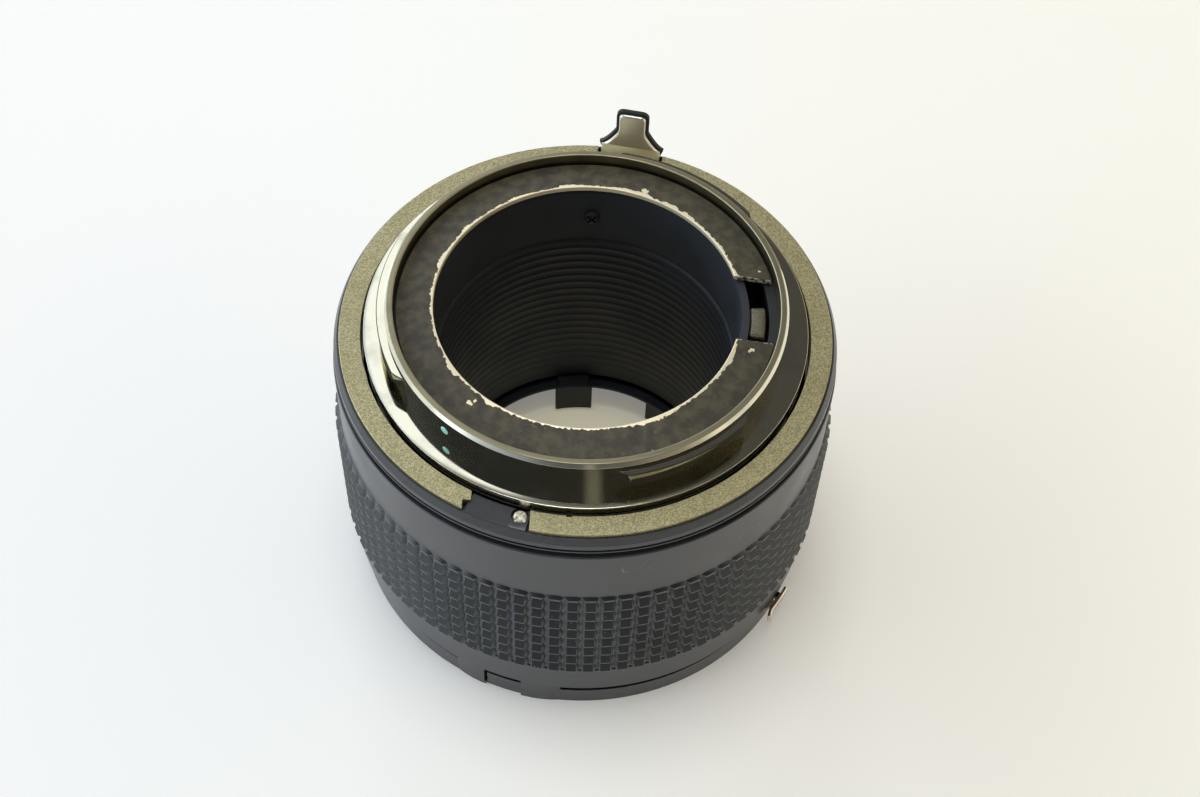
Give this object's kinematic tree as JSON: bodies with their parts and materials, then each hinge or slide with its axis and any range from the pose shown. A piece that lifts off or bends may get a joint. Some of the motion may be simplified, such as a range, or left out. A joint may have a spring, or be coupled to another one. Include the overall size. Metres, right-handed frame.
{
  "type": "macro extension tube",
  "caption": "Extension tube for a camera lens, with bayonet mounts at both ends, an aperture coupling ring with a claw, a stop-down lever, a lens release and a knobbed grip.",
  "frame": {"origin": "on the optical axis, at the foot of the coupling ring, which is the lowest face of the tube standing on its lens end", "axes": "+Z along the optical axis towards the camera body, -Y towards the cut-out in the rear plate"},
  "size_m": [0.066, 0.066, 0.0495],
  "materials": {
    "satin_black": "satin black anodised aluminium",
    "baffle_black": "dead matt black paint",
    "worn_black": "black paint, chipped to bare metal at the bore's edge",
    "black_rubber": "moulded knobs",
    "bright_chrome": "polished",
    "blasted_olive": "sand-blasted olive grey",
    "nickel_sheet": "nickelled sheet",
    "plain_steel": "plain"
  },
  "bodies": {
    "tube_body": {"barrel_shell": "satin_black", "rubber_grip": "black_rubber", "inner_tube": "baffle_black", "barrel_screw_1": "plain_steel", "barrel_screw_2": "plain_steel", "barrel_screw_3": "plain_steel", "camera_bayonet": "bright_chrome", "bayonet_screw_1": "plain_steel", "bayonet_screw_2": "plain_steel", "bayonet_screw_3": "plain_steel", "bayonet_screw_4": "plain_steel", "mask_plate": "worn_black", "ribbed_baffle": "baffle_black", "baffle_screw_1": "plain_steel", "baffle_screw_2": "plain_steel", "baffle_screw_3": "plain_steel", "lens_mount_ring": "bright_chrome", "leaf_spring_1": "plain_steel", "leaf_spring_2": "plain_steel", "leaf_spring_3": "plain_steel", "lens_mount_screw_1": "plain_steel", "lens_mount_screw_2": "plain_steel", "lens_mount_screw_3": "plain_steel", "lens_mount_screw_4": "plain_steel", "lens_mount_screw_5": "plain_steel", "end_baffle": "baffle_black", "spring_post": "plain_steel", "stop_down_spring": "plain_steel", "release_pivot": "plain_steel", "release_post": "plain_steel", "release_spring": "plain_steel"},
    "aperture_coupling": {"rear_ring": "satin_black", "rear_plate": "blasted_olive", "drive_sleeve": "plain_steel", "ring_screw_1": "plain_steel", "ring_screw_2": "plain_steel", "ring_screw_3": "plain_steel", "coupling_ring": "satin_black", "collar_screw_1": "plain_steel", "collar_screw_2": "plain_steel", "collar_screw_3": "plain_steel", "coupling_claw": "nickel_sheet"},
    "stop_down": {"stop_down_carrier": "baffle_black", "stop_down_lever": "blasted_olive", "stop_down_finger": "baffle_black", "carrier_pin": "plain_steel"},
    "lens_release": {"release_lever": "nickel_sheet", "lock_pawl": "plain_steel"}
  },
  "joints": [
    {"name": "coupling_turn", "type": "hinge", "parent": "tube_body", "child": "aperture_coupling", "pos_m": [0, 0, 0.02], "axis": [0, 0, 1], "range_deg": [0, 50]},
    {"name": "stop_down_turn", "type": "hinge", "parent": "tube_body", "child": "stop_down", "pos_m": [0, 0, 0.02], "axis": [0, 0, 1], "range_deg": [0, 9], "stiffness_Nm_per_rad": 0.05, "springref_deg": -2.86},
    {"name": "release_press", "type": "hinge", "parent": "tube_body", "child": "lens_release", "pos_m": [0.01426, -0.02281, 0.0047], "axis": [0, 0, 1], "range_deg": [0, 5.5], "stiffness_Nm_per_rad": 0.02, "springref_deg": -2.86}
  ]
}
